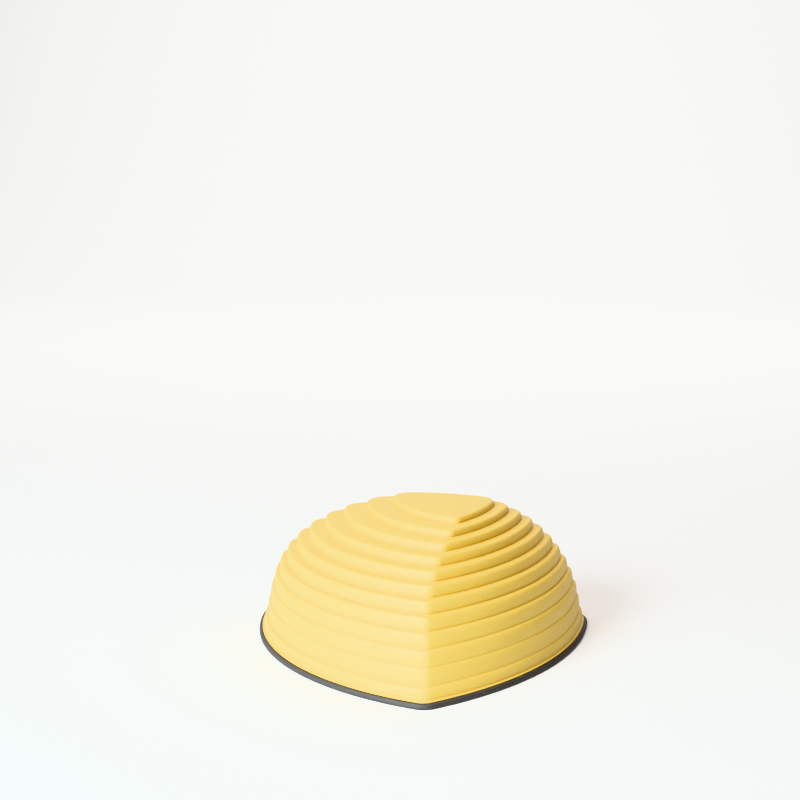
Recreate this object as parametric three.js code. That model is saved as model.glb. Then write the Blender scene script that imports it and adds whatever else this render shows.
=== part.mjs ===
// Kids balance stepping stone: a hollow stepped hill with a rubber edge round its foot.
// Millimetres, +Z up, standing on z = 0 with the middle of its footprint at the origin.
// The sharp ridge of the hill faces -Y.

import * as THREE from 'three';

// The terraces: risers get lower and treads get wider towards the plateau.
const total_height = 170;
const terrace_count = 12;
const riser_fall_share = 0.49;
const riser_draft = THREE.MathUtils.degToRad(1);

// A riser bulges a little and rounds over into its tread as a quarter of a superellipse, which
// reaches in over the tread, but never over the whole of a narrow one. Its foot is tucked in.
const edge_reach = 3.2;
const edge_power = 2.4;
const widest_edge_share = 0.85;
const foot_tuck = 0.9;
const tuck_rise_share = 0.2;

// The plan: three bulging sides, each with its own slope, round one upright axis.
// A reach is the distance from that axis to the middle of a side.
const foot_reach = 174;
const right = {
  facing: -30,
  foot_arc: 415,
  tightening_share: 0.62,
  plateau_reach: 76,
  first_tread: 1,
  widening: 0.85,
};
const back = {
  facing: 90,
  foot_arc: 320,
  tightening_share: 0.74,
  plateau_reach: 77,
  first_tread: 7.5,
  widening: 1,
};
const left = {
  facing: 210,
  foot_arc: 330,
  tightening_share: 0.84,
  plateau_reach: 17,
  first_tread: 2.4,
  widening: 1.7,
};
const sides = [right, back, left];

// The upright corners between the sides.
const ridge_radius_foot = 13;
const ridge_radius_plateau = 8.5;
const rear_corner_radius_foot = 40;
const rear_corner_radius_plateau = 22;
const widest_corner_share = 0.8;
const least_inner_corner = 1;

// The moulding.
const wall = 4;
const flange_width = 4.6;
const flange_thickness = 1.8;
const flange_chamfer = 0.5;

// The rubber edge, a channel pushed up over the skirt of the moulding.
const rubber_height = 6;
const rubber_overhang = 8.8;
const rubber_inner_wall = 3;
const rubber_floor = 2.2;
const rubber_foot_chamfer = 0.8;
const rubber_rounding = 1.6;
const fit_gap = 0.3;

// How finely the curves are divided.
const side_steps = 10;
const corner_steps = 6;
const edge_steps = 4;

const flange_underside = rubber_height + fit_gap;
const flange_top = flange_underside + flange_thickness;
const skirt_bottom = rubber_floor + fit_gap;
const corners = [
  { from: right, to: back, foot: rear_corner_radius_foot, plateau: rear_corner_radius_plateau },
  { from: back, to: left, foot: rear_corner_radius_foot, plateau: rear_corner_radius_plateau },
  { from: left, to: right, foot: ridge_radius_foot, plateau: ridge_radius_plateau },
];

// Height of one riser. The first is the tallest, and they fall evenly.
function riser_height(terrace) {
  const climb = (terrace - 1) / (terrace_count - 1);
  return (total_height / terrace_count) * (1 + riser_fall_share * (1 - 2 * climb));
}

// Height of a terrace's tread above the floor. Terrace 0 is the flange that the first riser stands on.
function tread_level(terrace) {
  let level = 0;
  for (let step = 1; step <= terrace; step += 1) {
    level += riser_height(step);
  }
  return Math.max(level, flange_top);
}

// Share of a side's whole widening that the treads below a terrace have used up.
function widening_used(side, terrace) {
  let used = 0;
  let whole = 0;
  for (let step = 1; step < terrace_count; step += 1) {
    const widened = ((step - 1) / (terrace_count - 2)) ** side.widening;
    whole += widened;
    used += step < terrace ? widened : 0;
  }
  return used / whole;
}

// Distance from the axis to the middle of a side, at the foot of a terrace's riser.
function side_reach(side, terrace) {
  const even_part = side.first_tread * (terrace - 1);
  const widening_part = foot_reach - side.plateau_reach - side.first_tread * (terrace_count - 1);
  return foot_reach - even_part - widening_part * widening_used(side, terrace);
}

function mean_reach(terrace) {
  const reaches = sides.map((side) => side_reach(side, terrace));
  return reaches.reduce((sum, reach) => sum + reach) / reaches.length;
}

// Centre and radius of the arc that a side follows, which tightens as the hill narrows.
function side_arc(side, terrace) {
  const narrowing = 1 - mean_reach(terrace) / foot_reach;
  const radius = side.foot_arc * (1 - side.tightening_share * narrowing);
  const facing = THREE.MathUtils.degToRad(side.facing);
  const distance = side_reach(side, terrace) - radius;
  return { centre: new THREE.Vector2(Math.cos(facing), Math.sin(facing)).multiplyScalar(distance), radius };
}

function corner_radius(corner, terrace) {
  const climb = (terrace - 1) / (terrace_count - 1);
  const radius = corner.foot + (corner.plateau - corner.foot) * climb;
  return Math.min(radius, widest_corner_share * mean_reach(terrace));
}

// Centre of a corner's arc, which touches the arcs of both its sides from inside.
function corner_centre(corner, terrace) {
  const before = side_arc(corner.from, terrace);
  const after = side_arc(corner.to, terrace);
  const rounding = corner_radius(corner, terrace);
  const reach_before = before.radius - rounding;
  const reach_after = after.radius - rounding;
  const between = after.centre.clone().sub(before.centre);
  const spacing = between.length();
  const along = (spacing ** 2 + reach_before ** 2 - reach_after ** 2) / (2 * spacing);
  const aside = Math.sqrt(reach_before ** 2 - along ** 2);
  const direction = between.divideScalar(spacing);
  const outward = new THREE.Vector2(-direction.y, direction.x);
  return before.centre.clone().addScaledVector(direction, along).addScaledVector(outward, aside);
}

// Points of an arc from one heading anticlockwise to another, without the last one.
function arc_points(centre, radius, start, end, steps) {
  const sweep = THREE.MathUtils.euclideanModulo(end - start, 2 * Math.PI);
  return Array.from({ length: steps }, (_, step) => {
    const heading = start + (sweep * step) / steps;
    return new THREE.Vector2(Math.cos(heading), Math.sin(heading)).multiplyScalar(radius).add(centre);
  });
}

// One terrace's closed outline, moved outwards by a distance, anticlockwise from its right side.
function outline(terrace, outwards) {
  const points = [];
  corners.forEach((corner, index) => {
    const previous = corners[(index + corners.length - 1) % corners.length];
    const arc = side_arc(corner.from, terrace);
    const next_arc = side_arc(corner.to, terrace);
    const start = corner_centre(previous, terrace);
    const turn = corner_centre(corner, terrace);
    const heading_in = start.clone().sub(arc.centre).angle();
    const heading_turn = turn.clone().sub(arc.centre).angle();
    const heading_out = turn.clone().sub(next_arc.centre).angle();
    const rounding = Math.max(corner_radius(corner, terrace) + outwards, least_inner_corner);
    points.push(...arc_points(arc.centre, arc.radius + outwards, heading_in, heading_turn, side_steps));
    points.push(...arc_points(turn, rounding, heading_turn, heading_out, corner_steps));
  });
  return points;
}

// A ring is an outline at one height.
function ring(terrace, outwards, level) {
  return outline(terrace, outwards).map((point) => new THREE.Vector3(point.x, point.y, level));
}

// How far a riser leans in over a climb.
function lean(climb) {
  return climb * Math.tan(riser_draft);
}

// Outline of the foot of the next riser. Above the plateau's own edge it stands for the same room.
function next_outline(terrace, climb) {
  if (terrace < terrace_count) {
    return outline(terrace + 1, -foot_tuck);
  }
  return outline(terrace, -lean(climb) - edge_reach / widest_edge_share);
}

// Rings of a riser's rounded part, from above its foot up to where it meets its flat tread.
function edge_rings(terrace, foot_level, climb) {
  const brink = outline(terrace, -lean(climb));
  const next = next_outline(terrace, climb);
  return Array.from({ length: edge_steps }, (_, step) => {
    const turn = (Math.PI / 2) * ((step + 1) / edge_steps);
    const rise = climb * Math.sin(turn) ** (2 / edge_power);
    const reach_share = 1 - Math.cos(turn) ** (2 / edge_power);
    return outline(terrace, -lean(rise)).map((point, index) => {
      const room = next[index].distanceTo(brink[index]);
      const reach = Math.min(edge_reach, widest_edge_share * room) * reach_share;
      const inwards = next[index].clone().sub(point).normalize();
      const place = point.clone().addScaledVector(inwards, reach);
      return new THREE.Vector3(place.x, place.y, foot_level + rise);
    });
  });
}

// Rings of a riser, from its tucked foot up to its tread.
function riser_rings(terrace) {
  const foot_level = tread_level(terrace - 1);
  const climb = tread_level(terrace) - foot_level;
  const tuck_rise = tuck_rise_share * climb;
  return [
    ring(terrace, -foot_tuck, foot_level),
    ring(terrace, -lean(tuck_rise), foot_level + tuck_rise),
    ...edge_rings(terrace, foot_level, climb),
  ];
}

// Outside of the moulding, from the bottom of its skirt up to the edge of the plateau.
function outer_rings() {
  const rings = [
    ring(1, 0, skirt_bottom),
    ring(1, 0, flange_underside),
    ring(1, flange_width, flange_underside),
    ring(1, flange_width, flange_top - flange_chamfer),
    ring(1, flange_width - flange_chamfer, flange_top),
  ];
  for (let terrace = 1; terrace <= terrace_count; terrace += 1) {
    rings.push(...riser_rings(terrace));
  }
  return rings;
}

// Inside of the moulding, one wall in from the outside, from under the plateau down to the skirt.
function inner_rings() {
  const rings = [];
  for (let terrace = terrace_count; terrace >= 1; terrace -= 1) {
    const ceiling = tread_level(terrace) - wall;
    const foot = terrace > 1 ? tread_level(terrace - 1) - wall : skirt_bottom;
    const climb = tread_level(terrace) - tread_level(terrace - 1);
    rings.push(ring(terrace, -wall - lean(climb), ceiling), ring(terrace, -wall, foot));
  }
  return rings;
}

function middle_of(points) {
  const sum = points.reduce((total, point) => total.add(point), new THREE.Vector3());
  return sum.divideScalar(points.length);
}

// Joins each ring to the next with two triangles a step.
function band_faces(ring_count, ring_size, closed) {
  const faces = [];
  const bands = closed ? ring_count : ring_count - 1;
  for (let band = 0; band < bands; band += 1) {
    for (let step = 0; step < ring_size; step += 1) {
      const next_step = (step + 1) % ring_size;
      const lower = band * ring_size;
      const upper = ((band + 1) % ring_count) * ring_size;
      faces.push(lower + step, lower + next_step, upper + next_step);
      faces.push(lower + step, upper + next_step, upper + step);
    }
  }
  return faces;
}

// Closes the first and last ring with a fan round each one's middle.
function cap_faces(ring_count, ring_size) {
  const faces = [];
  const first_middle = ring_count * ring_size;
  const last_ring = (ring_count - 1) * ring_size;
  for (let step = 0; step < ring_size; step += 1) {
    const next_step = (step + 1) % ring_size;
    faces.push(first_middle, next_step, step);
    faces.push(first_middle + 1, last_ring + step, last_ring + next_step);
  }
  return faces;
}

function geometry_from(points, faces) {
  const geometry = new THREE.BufferGeometry().setFromPoints(points);
  geometry.setIndex(faces);
  geometry.computeVertexNormals();
  return geometry;
}

function shell_geometry() {
  const rings = [...inner_rings(), ...outer_rings()];
  const points = rings.flat();
  const faces = band_faces(rings.length, rings[0].length, false);
  faces.push(...cap_faces(rings.length, rings[0].length));
  points.push(middle_of(rings[0]), middle_of(rings[rings.length - 1]));
  return geometry_from(points, faces);
}

// The channel's section runs from the floor up the outside, over the groove and down the inside.
function rubber_geometry() {
  const groove_outside = fit_gap;
  const groove_inside = -wall - fit_gap;
  const rings = [
    ring(1, rubber_overhang - rubber_foot_chamfer, 0),
    ring(1, rubber_overhang, rubber_foot_chamfer),
    ring(1, rubber_overhang, rubber_height - rubber_rounding),
    ring(1, rubber_overhang - rubber_rounding, rubber_height),
    ring(1, groove_outside, rubber_height),
    ring(1, groove_outside, rubber_floor),
    ring(1, groove_inside, rubber_floor),
    ring(1, groove_inside, rubber_height),
    ring(1, groove_inside - rubber_inner_wall, rubber_height),
    ring(1, groove_inside - rubber_inner_wall, 0),
  ];
  return geometry_from(rings.flat(), band_faces(rings.length, rings[0].length, true));
}

const moulded_plastic = new THREE.MeshStandardMaterial({ color: 0xe8c868, roughness: 0.5, metalness: 0 });
const grey_rubber = new THREE.MeshStandardMaterial({ color: 0x55545a, roughness: 0.75, metalness: 0 });

const moulded_shell = new THREE.Mesh(shell_geometry(), moulded_plastic);
moulded_shell.name = 'moulded_shell';

const rubber_edge = new THREE.Mesh(rubber_geometry(), grey_rubber);
rubber_edge.name = 'rubber_edge';

// The upright axis of the plan moves so that the footprint's box has its middle at the origin.
const footprint = new THREE.Box3().setFromPoints(ring(1, rubber_overhang, 0));
const footprint_middle = footprint.getCenter(new THREE.Vector3());
const hill = new THREE.Group();
hill.add(moulded_shell, rubber_edge);
hill.position.copy(footprint_middle).negate();

const stepping_stone = new THREE.Group();
stepping_stone.add(hill);

export default stepping_stone;
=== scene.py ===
"""Dresses the balance stepping stone: a yellow stepped hill with a rubber edge round its foot."""

import math

import bpy
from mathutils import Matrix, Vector


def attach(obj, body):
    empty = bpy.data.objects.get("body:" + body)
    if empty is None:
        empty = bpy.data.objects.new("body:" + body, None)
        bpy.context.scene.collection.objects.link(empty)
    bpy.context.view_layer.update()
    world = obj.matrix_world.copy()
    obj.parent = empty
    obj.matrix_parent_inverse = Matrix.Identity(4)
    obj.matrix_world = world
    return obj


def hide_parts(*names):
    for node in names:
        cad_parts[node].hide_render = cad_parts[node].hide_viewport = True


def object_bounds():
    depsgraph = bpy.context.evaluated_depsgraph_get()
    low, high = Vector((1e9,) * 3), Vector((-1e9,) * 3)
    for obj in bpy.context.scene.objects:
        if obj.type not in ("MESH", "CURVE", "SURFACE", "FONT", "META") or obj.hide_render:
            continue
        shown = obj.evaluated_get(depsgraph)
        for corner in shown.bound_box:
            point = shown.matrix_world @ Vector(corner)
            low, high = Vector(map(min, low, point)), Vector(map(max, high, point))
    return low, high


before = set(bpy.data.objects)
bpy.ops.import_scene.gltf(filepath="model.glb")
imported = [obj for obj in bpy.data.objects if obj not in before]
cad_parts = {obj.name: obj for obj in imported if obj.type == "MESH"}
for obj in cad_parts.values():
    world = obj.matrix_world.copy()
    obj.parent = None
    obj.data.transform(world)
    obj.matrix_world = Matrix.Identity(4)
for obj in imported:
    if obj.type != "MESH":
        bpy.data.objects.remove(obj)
cad_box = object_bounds()

MM = 0.001
TURN = 2 * math.pi

# The hill's plan and heights, in metres, by the same rules as the solids. The lowest riser is
# taller than the mean by the share RISER_FALL, and the highest is lower by as much.
TOTAL_HEIGHT = 170 * MM
TERRACES = 12
RISER_FALL = 0.49
DRAFT = math.radians(1)
FOOT_REACH = 174 * MM
# A side: the way it faces in degrees, the radius of its arc at the foot, how far that radius
# shrinks with the plan, its reach at the plateau, the width of its lowest tread, and the power
# by which its treads widen upwards.
SIDES = {
    "right": {
        "facing": -30,
        "foot_arc": 415 * MM,
        "tightening": 0.62,
        "plateau": 76 * MM,
        "first_tread": 1 * MM,
        "widening": 0.85,
    },
    "back": {
        "facing": 90,
        "foot_arc": 320 * MM,
        "tightening": 0.74,
        "plateau": 77 * MM,
        "first_tread": 7.5 * MM,
        "widening": 1,
    },
    "left": {
        "facing": 210,
        "foot_arc": 330 * MM,
        "tightening": 0.84,
        "plateau": 17 * MM,
        "first_tread": 2.4 * MM,
        "widening": 1.7,
    },
}
# A corner: the side before it, the side after it, and its radius at the foot and at the plateau.
CORNERS = [
    ("right", "back", 40 * MM, 22 * MM),
    ("back", "left", 40 * MM, 22 * MM),
    ("left", "right", 13 * MM, 8.5 * MM),
]
LEAST_INNER_CORNER = 1 * MM

# The moulding's wall and flange. The lowest riser stands further out than the solid's.
WALL = 4 * MM
FLANGE_WIDTH = 4.6 * MM
FLANGE_THICKNESS = 1.3 * MM
FLANGE_ROUNDING = 0.5 * MM
LOWEST_STEP_OUT = 2.2 * MM

# A riser: its edge, a quarter of a superellipse, its tucked foot and the fillet in its crease.
EDGE_REACH = 4.8 * MM
EDGE_POWER = 2.4
WIDEST_EDGE_SHARE = 0.85
FOOT_TUCK = 0.55 * MM
TUCK_RISE_SHARE = 0.2
CREASE_RADIUS = 1.2 * MM
WIDEST_CREASE_SHARE = 0.9

# The corners inside the hollow.
INNER_ROUNDING = 1.6 * MM
WIDEST_INNER_SHARE = 0.4

# The rubber channel.
RUBBER_HEIGHT = 6 * MM
RUBBER_OVERHANG = 8.8 * MM
RUBBER_INNER_WALL = 3 * MM
RUBBER_FLOOR = 2.2 * MM
RUBBER_FOOT_ROUNDING = 0.8 * MM
RUBBER_TOP_ROUNDING = 1.7 * MM
RUBBER_BELLY = 0.25 * MM
RUBBER_BEVEL = 0.3 * MM
FIT_GAP = 0.3 * MM

FLANGE_UNDERSIDE = RUBBER_HEIGHT + FIT_GAP
FLANGE_TOP = FLANGE_UNDERSIDE + FLANGE_THICKNESS
SKIRT_BOTTOM = RUBBER_FLOOR + FIT_GAP

# How finely the curves are divided. A riser's first steps make room for its tucked foot.
SIDE_STEPS = 40
CORNER_STEPS = 16
RISER_STEPS = 14
FIRST_RISER_STEP = 2
TUCK_STEPS = 4
ROUNDING_STEPS = 4
RUBBER_TOP_STEPS = 8
BELLY_STEPS = 6
BACKDROP_STEPS = 12

# The finishes: a lighter and a darker colour, and how strongly the surface bends light.
PLASTIC_COLOURS = (0.80, 0.575, 0.142, 1), (0.67, 0.445, 0.075, 1)
PLASTIC_IOR = 1.4
RUBBER_COLOURS = (0.053, 0.046, 0.045, 1), (0.035, 0.030, 0.029, 1)
RUBBER_IOR = 1.5
FLOOR_COLOUR = (0.8, 0.8, 0.8, 1)
FLOOR_ROUGHNESS = 0.7
FLOOR_IOR = 1.3

# A colour Mix node's sockets, by number, because its names repeat.
MIX_SHARE, MIX_FIRST, MIX_SECOND, MIX_RESULT = 0, 6, 7, 2

# The studio. The focal length is in pixels of the photograph's square frame.
BACKDROP_HALF_WIDTH = 9.0
BACKDROP_FRONT = -6.0
BACKDROP_BEND = 5.0
BACKDROP_RADIUS = 3.0
BACKDROP_HEIGHT = 9.0
HILL_MIDDLE = (0, 0, 0.08)
BACKDROP_MIDDLE = (0, 6.2, 0.6)
WORLD_COLOUR = (1.0, 0.98, 0.96, 1)
WORLD_STRENGTH = 0.16
FRAME_PIXELS = 800
FOCAL_PIXELS = 1450
SENSOR_WIDTH = 36.0
CAMERA_PLACE = (0.05381, -1.6869, 0.56227)
CAMERA_PITCH = -0.15246
CAMERA_TURN = 0.04709
CAMERA_RANGE = (0.05, 60.0)


def riser_height(terrace):
    climb = (terrace - 1) / (TERRACES - 1)
    return TOTAL_HEIGHT / TERRACES * (1 + RISER_FALL * (1 - 2 * climb))


def tread_level(terrace):
    """Height of a terrace's tread. Terrace 0 is the flange, which the lowest riser stands on."""
    return max(sum(riser_height(step) for step in range(1, terrace + 1)), FLANGE_TOP)


def side_reach(side, terrace):
    """Distance from the upright axis to the middle of a side, at the foot of a terrace's riser."""
    widened = [((step - 1) / (TERRACES - 2)) ** side["widening"] for step in range(1, TERRACES)]
    used = sum(widened[: terrace - 1]) / sum(widened)
    whole_widening = FOOT_REACH - side["plateau"] - side["first_tread"] * (TERRACES - 1)
    return FOOT_REACH - side["first_tread"] * (terrace - 1) - whole_widening * used


def side_arc(name, terrace):
    """Centre and radius of a side, which tightens as the terraces get smaller."""
    side = SIDES[name]
    mean_reach = sum(side_reach(other, terrace) for other in SIDES.values()) / len(SIDES)
    radius = side["foot_arc"] * (1 - side["tightening"] * (1 - mean_reach / FOOT_REACH))
    facing = math.radians(side["facing"])
    outward = Vector((math.cos(facing), math.sin(facing)))
    return outward * (side_reach(side, terrace) - radius), radius


def corner_arc(corner, terrace):
    """Centre and radius of a corner, which touches the arcs of both its sides from inside."""
    before, after, foot, plateau = corner
    radius = foot + (plateau - foot) * (terrace - 1) / (TERRACES - 1)
    centre_before, radius_before = side_arc(before, terrace)
    centre_after, radius_after = side_arc(after, terrace)
    between = centre_after - centre_before
    spacing = between.length
    reach_before, reach_after = radius_before - radius, radius_after - radius
    along = (spacing**2 + reach_before**2 - reach_after**2) / (2 * spacing)
    aside = math.sqrt(reach_before**2 - along**2)
    direction = between / spacing
    outward = Vector((-direction.y, direction.x))
    return centre_before + direction * along + outward * aside, radius


def heading(vector):
    return math.atan2(vector.y, vector.x)


def arc_points(centre, radius, start, end, steps):
    sweep = (end - start) % TURN
    angles = (start + sweep * step / steps for step in range(steps))
    return [centre + Vector((math.cos(angle), math.sin(angle))) * radius for angle in angles]


def outline(terrace, outwards=0.0):
    """A terrace's closed outline, anticlockwise from its right side, moved outwards."""
    points = []
    for index, corner in enumerate(CORNERS):
        side_centre, side_radius = side_arc(corner[0], terrace)
        next_centre, _ = side_arc(corner[1], terrace)
        start, _ = corner_arc(CORNERS[index - 1], terrace)
        turn, turn_radius = corner_arc(corner, terrace)
        into, bend = heading(start - side_centre), heading(turn - side_centre)
        out = heading(turn - next_centre)
        rounding = max(turn_radius + outwards, LEAST_INNER_CORNER)
        points += arc_points(side_centre, side_radius + outwards, into, bend, SIDE_STEPS)
        points += arc_points(turn, rounding, bend, out, CORNER_STEPS)
    return points


def outer_outline(terrace, outwards=0.0):
    """A riser's outline on the outside. The lowest riser stands close to the flange's edge."""
    return outline(terrace, outwards + (LOWEST_STEP_OUT if terrace == 1 else 0))


def lean(climb):
    return climb * math.tan(DRAFT)


def quarter_turn(steps, first=0):
    """Equal steps of an angle from 0 to a right angle."""
    return [math.pi / 2 * step / steps for step in range(first, steps + 1)]


def towards(points, targets, distances):
    """Moves each point towards its target by its own distance."""
    moved = []
    for point, target, distance in zip(points, targets, distances):
        way = target - point
        moved.append(point + way.normalized() * distance)
    return moved


def gaps(points, targets):
    return [(target - point).length for point, target in zip(points, targets)]


def footprint():
    points = outline(1, RUBBER_OVERHANG)
    low = Vector((min(p.x for p in points), min(p.y for p in points)))
    high = Vector((max(p.x for p in points), max(p.y for p in points)))
    return low, high


FOOTPRINT = footprint()


def fit_to_solids(point):
    """From the plan's own axis to the frame, so that the footprint fills the solids' box."""
    placed = Vector(point)
    for axis in range(2):
        share = (point[axis] - FOOTPRINT[0][axis]) / (FOOTPRINT[1][axis] - FOOTPRINT[0][axis])
        placed[axis] = cad_box[0][axis] + share * (cad_box[1][axis] - cad_box[0][axis])
    return placed


class Skin:
    """Rings of equal length, joined one to the next. A ring's painted shade is 1 deep in a groove,
    where its finish is darkened as shade.
    """

    def __init__(self):
        self.rings = []
        self.painted_shades = []

    def add(self, points, level, painted_shade=0.0):
        self.rings.append([Vector((point.x, point.y, level)) for point in points])
        self.painted_shades.append(painted_shade)

    def add_round_foot(self, outwards, level, painted_shade=0.0):
        self.add(outline(1, outwards), level, painted_shade)

    def bands(self, closed):
        """Faces between neighbouring rings. A closed skin also joins its last ring to its first."""
        count, size = len(self.rings), len(self.rings[0])
        faces = []
        for band in range(count if closed else count - 1):
            lower, upper = band * size, (band + 1) % count * size
            for step in range(size):
                following = (step + 1) % size
                faces.append((lower + step, lower + following, upper + following, upper + step))
        return faces

    def cap(self, ring, forwards, middle):
        """Faces from one ring to the point in its middle."""
        size = len(self.rings[ring])
        faces = []
        for step in range(size):
            pair = (ring * size + step, ring * size + (step + 1) % size)
            faces.append((middle, *(pair if forwards else pair[::-1])))
        return faces

    def build(self, name, finish, closed):
        size = len(self.rings[0])
        vertices = [point for ring in self.rings for point in ring]
        painted_shades = [painted_shade for painted_shade in self.painted_shades for _ in range(size)]
        faces = self.bands(closed)
        if not closed:
            for ring, forwards in ((0, False), (len(self.rings) - 1, True)):
                faces += self.cap(ring, forwards, len(vertices))
                vertices.append(sum(self.rings[ring], Vector()) / size)
                painted_shades.append(0.0)
        mesh = bpy.data.meshes.new(name)
        mesh.from_pydata([fit_to_solids(vertex) for vertex in vertices], [], faces)
        # This attribute carries each ring's painted shade to the finish.
        mesh.attributes.new("painted_shade", "FLOAT", "POINT").data.foreach_set("value", painted_shades)
        mesh.materials.append(finish)
        mesh.shade_smooth()
        piece = bpy.data.objects.new(name, mesh)
        bpy.context.scene.collection.objects.link(piece)
        return piece


def next_outline(terrace, climb):
    """The foot of the next riser. Above the plateau's own edge it stands for the same room."""
    if terrace < TERRACES:
        return outline(terrace + 1, -FOOT_TUCK)
    return outline(terrace, -lean(climb) - EDGE_REACH / WIDEST_EDGE_SHARE)


def add_tucked_foot(skin, terrace, climb):
    """The lowest part of a riser, which comes out from the crease that it stands in."""
    foot_level = tread_level(terrace - 1)
    lowest, highest = CREASE_RADIUS, TUCK_RISE_SHARE * climb
    for step in range(TUCK_STEPS + 1):
        share = step / TUCK_STEPS
        rise = lowest + (highest - lowest) * share
        outwards = -FOOT_TUCK * (1 - math.sin(math.pi / 2 * share)) - lean(rise) * share
        skin.add(outer_outline(terrace, outwards), foot_level + rise)


def add_riser(skin, terrace):
    """A riser that bulges and rounds over into its tread, and the tread up to the next crease."""
    foot_level, level = tread_level(terrace - 1), tread_level(terrace)
    climb = level - foot_level
    inner = next_outline(terrace, climb)
    widths = gaps(outer_outline(terrace, -lean(climb)), inner)
    reaches = [min(EDGE_REACH, WIDEST_EDGE_SHARE * width) for width in widths]
    add_tucked_foot(skin, terrace, climb)
    for turn in quarter_turn(RISER_STEPS, FIRST_RISER_STEP):
        rise = climb * math.sin(turn) ** (2 / EDGE_POWER)
        share = 1 - max(math.cos(turn), 0) ** (2 / EDGE_POWER)
        distances = [reach * share for reach in reaches]
        skin.add(towards(outer_outline(terrace, -lean(rise)), inner, distances), foot_level + rise)
    if terrace == TERRACES:
        return
    flats = [width - reach for width, reach in zip(widths, reaches)]
    creases = [min(CREASE_RADIUS, WIDEST_CREASE_SHARE * flat) for flat in flats]
    for turn in quarter_turn(ROUNDING_STEPS)[:-1]:
        distances = [crease * (1 - math.sin(turn)) for crease in creases]
        rise = CREASE_RADIUS * (1 - math.cos(turn))
        skin.add(towards(inner, outer_outline(terrace), distances), level + rise)


def inner_insets(points, targets):
    return [min(INNER_ROUNDING, WIDEST_INNER_SHARE * gap) for gap in gaps(points, targets)]


def add_inner_step(skin, terrace):
    """The inside of one terrace, with rounded corners, from its ceiling to the foot of its wall."""
    climb = tread_level(terrace) - tread_level(terrace - 1)
    ceiling = tread_level(terrace) - WALL
    top = outline(terrace, -WALL - lean(climb))
    bottom = outline(terrace, -WALL)
    above = outline(terrace + 1, -WALL) if terrace < TERRACES else outline(terrace, -2 * WALL)
    insets = inner_insets(top, above)
    for turn in quarter_turn(ROUNDING_STEPS):
        moved = towards(top, above, [inset * (1 - math.sin(turn)) for inset in insets])
        skin.add(moved, ceiling - INNER_ROUNDING * (1 - math.cos(turn)))
    if terrace == 1:
        skin.add(bottom, SKIRT_BOTTOM)
        return
    foot = tread_level(terrace - 1) - WALL
    below = outline(terrace - 1, -WALL - lean(tread_level(terrace - 1) - tread_level(terrace - 2)))
    insets = inner_insets(bottom, below)
    for turn in quarter_turn(ROUNDING_STEPS):
        moved = towards(bottom, below, [inset * (1 - math.cos(turn)) for inset in insets])
        skin.add(moved, foot + INNER_ROUNDING * (1 - math.sin(turn)))


def add_flange(skin):
    """The outside of the skirt, the flange with its rounded rim, and the lowest riser's crease."""
    skin.add_round_foot(0, SKIRT_BOTTOM)
    skin.add_round_foot(0, FLANGE_UNDERSIDE)
    turns = quarter_turn(ROUNDING_STEPS)
    for turn in reversed(turns):
        outwards = FLANGE_WIDTH - FLANGE_ROUNDING * (1 - math.cos(turn))
        skin.add_round_foot(outwards, FLANGE_UNDERSIDE + FLANGE_ROUNDING * (1 - math.sin(turn)))
    for turn in turns:
        outwards = FLANGE_WIDTH - FLANGE_ROUNDING * (1 - math.cos(turn))
        skin.add_round_foot(outwards, FLANGE_TOP - FLANGE_ROUNDING * (1 - math.sin(turn)))
    for turn in turns[:-1]:
        outwards, rise = CREASE_RADIUS * (1 - math.sin(turn)), CREASE_RADIUS * (1 - math.cos(turn))
        skin.add(outer_outline(1, outwards - FOOT_TUCK), FLANGE_TOP + rise)


def moulded_shell(finish):
    """The hill in one skin: down the inside of the hollow, round the flange, and up the risers."""
    skin = Skin()
    for terrace in range(TERRACES, 0, -1):
        add_inner_step(skin, terrace)
    add_flange(skin)
    for terrace in range(1, TERRACES + 1):
        add_riser(skin, terrace)
    shell = skin.build("stepped_hill_moulding", finish, closed=False)
    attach(shell, "root")
    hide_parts("moulded_shell")


def add_rubber_outside(skin):
    """The channel's outer face: its rounded foot, its slight belly and its rounded top."""
    for turn in quarter_turn(ROUNDING_STEPS):
        outwards = RUBBER_OVERHANG - RUBBER_FOOT_ROUNDING * (1 - math.sin(turn))
        skin.add_round_foot(outwards - RUBBER_BELLY, RUBBER_FOOT_ROUNDING * (1 - math.cos(turn)))
    side_start, side_end = RUBBER_FOOT_ROUNDING, RUBBER_HEIGHT - RUBBER_TOP_ROUNDING
    for step in range(1, BELLY_STEPS):
        share = step / BELLY_STEPS
        outwards = RUBBER_OVERHANG - RUBBER_BELLY * (1 - math.sin(math.pi * share))
        skin.add_round_foot(outwards, side_start + (side_end - side_start) * share)
    for turn in quarter_turn(RUBBER_TOP_STEPS):
        outwards = RUBBER_OVERHANG - RUBBER_BELLY - RUBBER_TOP_ROUNDING * (1 - math.cos(turn))
        skin.add_round_foot(outwards, side_end + RUBBER_TOP_ROUNDING * math.sin(turn))


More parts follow.
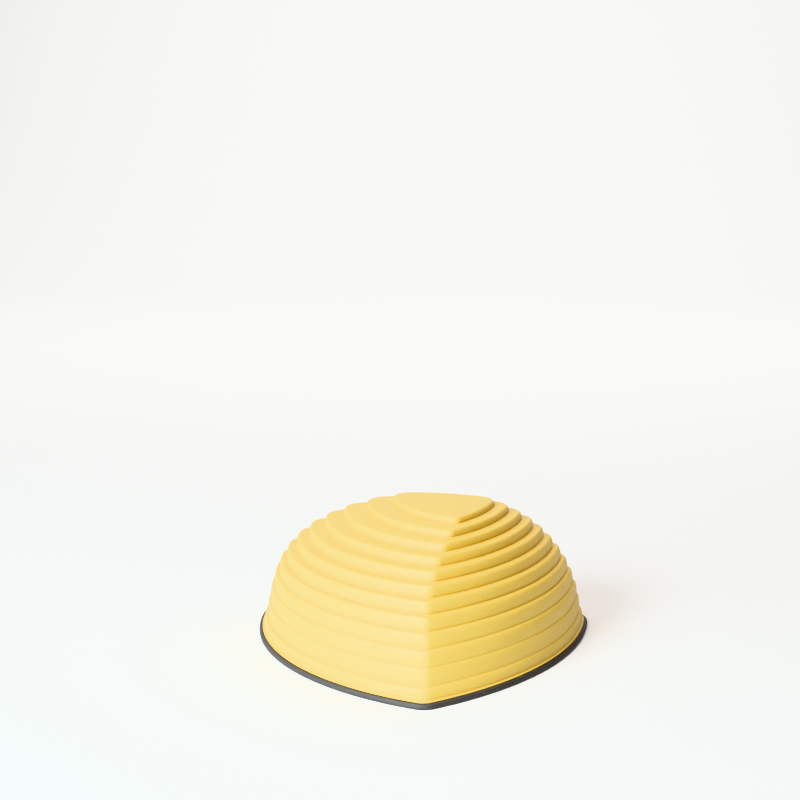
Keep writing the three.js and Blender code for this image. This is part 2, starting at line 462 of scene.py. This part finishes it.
def add_rubber_inside(skin):
    """The groove that holds the skirt, and the channel's inner wall down to the floor."""
    outer, inner = FIT_GAP, -WALL - FIT_GAP
    lip = inner - RUBBER_INNER_WALL
    # Each point's last number is the painted shade that darkens the rubber there: 1 down in the
    # groove.
    section = [
        (outer + RUBBER_BEVEL, RUBBER_HEIGHT, 0),
        (outer, RUBBER_HEIGHT - RUBBER_BEVEL, 0),
        (outer, RUBBER_FLOOR + RUBBER_BEVEL, 1),
        (outer - RUBBER_BEVEL, RUBBER_FLOOR, 1),
        (inner + RUBBER_BEVEL, RUBBER_FLOOR, 1),
        (inner, RUBBER_FLOOR + RUBBER_BEVEL, 1),
        (inner, RUBBER_HEIGHT - RUBBER_BEVEL, 0),
        (inner - RUBBER_BEVEL, RUBBER_HEIGHT, 0),
        (lip + 3 * RUBBER_BEVEL, RUBBER_HEIGHT, 0),
        (lip + RUBBER_BEVEL, RUBBER_HEIGHT - RUBBER_BEVEL, 0),
        (lip, RUBBER_HEIGHT - 3 * RUBBER_BEVEL, 0),
        (lip, 2 * RUBBER_BEVEL, 0),
        (lip + 2 * RUBBER_BEVEL, 0, 0),
    ]
    for outwards, level, painted_shade in section:
        skin.add_round_foot(outwards, level, painted_shade)


def rubber_edge(finish):
    skin = Skin()
    add_rubber_outside(skin)
    add_rubber_inside(skin)
    edge = skin.build("rubber_edge_channel", finish, closed=True)
    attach(edge, "root")
    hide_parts("rubber_edge")


class Wire:
    """One output of a finish's nodes. Sums and products of wires add Math nodes."""

    def __init__(self, finish, socket):
        self.finish = finish
        self.socket = socket

    def maths(self, operation, other):
        return self.finish.node("ShaderNodeMath", {"operation": operation}, {0: self, 1: other})

    def __add__(self, other):
        return self.maths("ADD", other)

    def __mul__(self, other):
        return self.maths("MULTIPLY", other)

    __radd__ = __add__
    __rmul__ = __mul__


class Finish:
    """A material that is put together from nodes round one Principled shader."""

    def __init__(self, name):
        self.material = bpy.data.materials.new(name)
        self.material.use_nodes = True
        self.tree = self.material.node_tree
        self.tree.nodes.clear()

    def add(self, kind, settings, sockets):
        """Adds a node with its settings, and then the values or wires of its sockets."""
        made = self.tree.nodes.new(kind)
        for name, value in settings.items():
            setattr(made, name, value)
        for key, value in sockets.items():
            if isinstance(value, Wire):
                self.tree.links.new(value.socket, made.inputs[key])
            else:
                made.inputs[key].default_value = value
        return made

    def node(self, kind, settings, sockets, output=0):
        return Wire(self, self.add(kind, settings, sockets).outputs[output])

    def noise(self, scale, detail, roughness):
        place = self.node("ShaderNodeTexCoord", {}, {}, "Object")
        sockets = {"Vector": place, "Scale": scale, "Detail": detail, "Roughness": roughness}
        return self.node("ShaderNodeTexNoise", {}, sockets)

    def blend(self, share, colours):
        sockets = {MIX_SHARE: share, MIX_FIRST: colours[0], MIX_SECOND: colours[1]}
        return self.node("ShaderNodeMix", {"data_type": "RGBA"}, sockets, MIX_RESULT)

    def bump(self, height, strength, distance):
        sockets = {"Strength": strength, "Distance": distance, "Height": height}
        return self.node("ShaderNodeBump", {}, sockets)

    def finished(self, sockets):
        shader = self.node("ShaderNodeBsdfPrincipled", {}, sockets)
        self.add("ShaderNodeOutputMaterial", {}, {"Surface": shader})
        return self.material


def moulded_plastic():
    """Even yellow plastic, coloured all through, with a fine grain for grip."""
    finish = Finish("yellow_moulded_plastic")
    clouds = finish.noise(scale=7.0, detail=3.0, roughness=0.5)
    mottle = finish.noise(scale=110.0, detail=3.0, roughness=0.6)
    stipple = finish.noise(scale=450.0, detail=2.0, roughness=0.6)
    grain = finish.noise(scale=1500.0, detail=2.0, roughness=0.6)
    colour = finish.blend(0.15 * clouds + 0.1 * mottle + 0.65 * stipple, PLASTIC_COLOURS)
    roughness = 0.40 + 0.10 * mottle + 0.08 * grain
    relief = finish.bump(stipple + 0.5 * grain, strength=0.4, distance=0.25 * MM)
    return finish.finished(
        {"Base Color": colour, "Roughness": roughness, "Normal": relief, "IOR": PLASTIC_IOR}
    )


def grey_rubber():
    """Dark grey rubber, matt, with a fine open grain, and painted shade that makes it darker down
    in its groove.
    """
    finish = Finish("grey_edge_rubber")
    painted_shade = finish.node("ShaderNodeAttribute", {"attribute_name": "painted_shade"}, {}, "Fac")
    mottle = finish.noise(scale=90.0, detail=4.0, roughness=0.6)
    grain = finish.noise(scale=1100.0, detail=3.0, roughness=0.6)
    # The groove's darker colour is painted shade, mixed in with the rubber's own mottle and grain.
    colour = finish.blend(0.5 * mottle + 0.3 * grain + 0.4 * painted_shade, RUBBER_COLOURS)
    roughness = 0.52 + 0.20 * grain
    relief = finish.bump(grain, strength=0.35, distance=0.2 * MM)
    return finish.finished(
        {"Base Color": colour, "Roughness": roughness, "Normal": relief, "IOR": RUBBER_IOR}
    )


def pale_floor():
    finish = Finish("pale_studio_floor")
    return finish.finished(
        {"Base Color": FLOOR_COLOUR, "Roughness": FLOOR_ROUGHNESS, "IOR": FLOOR_IOR}
    )


def studio_floor(finish):
    """A floor that curves up into a wall far behind the object."""
    profile = [(BACKDROP_FRONT, 0.0)]
    for turn in quarter_turn(BACKDROP_STEPS):
        along, up = BACKDROP_RADIUS * math.sin(turn), BACKDROP_RADIUS * (1 - math.cos(turn))
        profile.append((BACKDROP_BEND + along, up))
    profile.append((BACKDROP_BEND + BACKDROP_RADIUS, BACKDROP_HEIGHT))
    vertices = [(side * BACKDROP_HALF_WIDTH, y, z) for y, z in profile for side in (-1, 1)]
    faces = [(2 * i, 2 * i + 1, 2 * i + 3, 2 * i + 2) for i in range(len(profile) - 1)]
    mesh = bpy.data.meshes.new("studio_floor")
    mesh.from_pydata(vertices, [], faces)
    mesh.materials.append(finish)
    mesh.shade_smooth()
    floor = bpy.data.objects.new("studio_floor", mesh)
    bpy.context.scene.collection.objects.link(floor)


def soft_light(name, place, aim, width, power, colour):
    data = bpy.data.lights.new(name, "AREA")
    data.shape = "DISK"
    data.size = width
    data.energy = power
    data.color = colour
    light = bpy.data.objects.new(name, data)
    light.location = place
    light.rotation_mode = "QUATERNION"
    light.rotation_quaternion = (Vector(aim) - Vector(place)).to_track_quat("-Z", "Y")
    bpy.context.scene.collection.objects.link(light)


def studio_lights():
    """A key light from the left front, a warmer one above, and one on the backdrop."""
    soft_light(
        name="key_from_left",
        place=(-1.351, -1.610, 1.016),
        aim=HILL_MIDDLE,
        width=1.4,
        power=140,
        colour=(0.83, 0.975, 1.0),
    )
    soft_light(
        name="top_light",
        place=(-0.192, -0.716, 2.363),
        aim=HILL_MIDDLE,
        width=1.6,
        power=56,
        colour=(1.0, 0.90, 0.84),
    )
    soft_light(
        name="backdrop_light",
        place=(0, 3.2, 3.6),
        aim=BACKDROP_MIDDLE,
        width=4.0,
        power=400,
        colour=(1.0, 0.99, 0.97),
    )
    world = bpy.data.worlds.new("pale_studio")
    world.use_nodes = True
    background = world.node_tree.nodes["Background"]
    background.inputs["Color"].default_value = WORLD_COLOUR
    background.inputs["Strength"].default_value = WORLD_STRENGTH
    bpy.context.scene.world = world
    bpy.context.scene.view_settings.view_transform = "Khronos PBR Neutral"


def photograph_camera():
    """The photograph's viewpoint, for its square frame."""
    data = bpy.data.cameras.new("photograph_camera")
    data.sensor_width = SENSOR_WIDTH
    data.lens = SENSOR_WIDTH * FOCAL_PIXELS / FRAME_PIXELS
    data.clip_start, data.clip_end = CAMERA_RANGE
    camera = bpy.data.objects.new("photograph_camera", data)
    camera.location = CAMERA_PLACE
    camera.rotation_euler = (math.pi / 2 + CAMERA_PITCH, 0.0, CAMERA_TURN)
    bpy.context.scene.collection.objects.link(camera)
    bpy.context.scene.camera = camera


photograph_camera()
moulded_shell(moulded_plastic())
rubber_edge(grey_rubber())
studio_floor(pale_floor())
studio_lights()
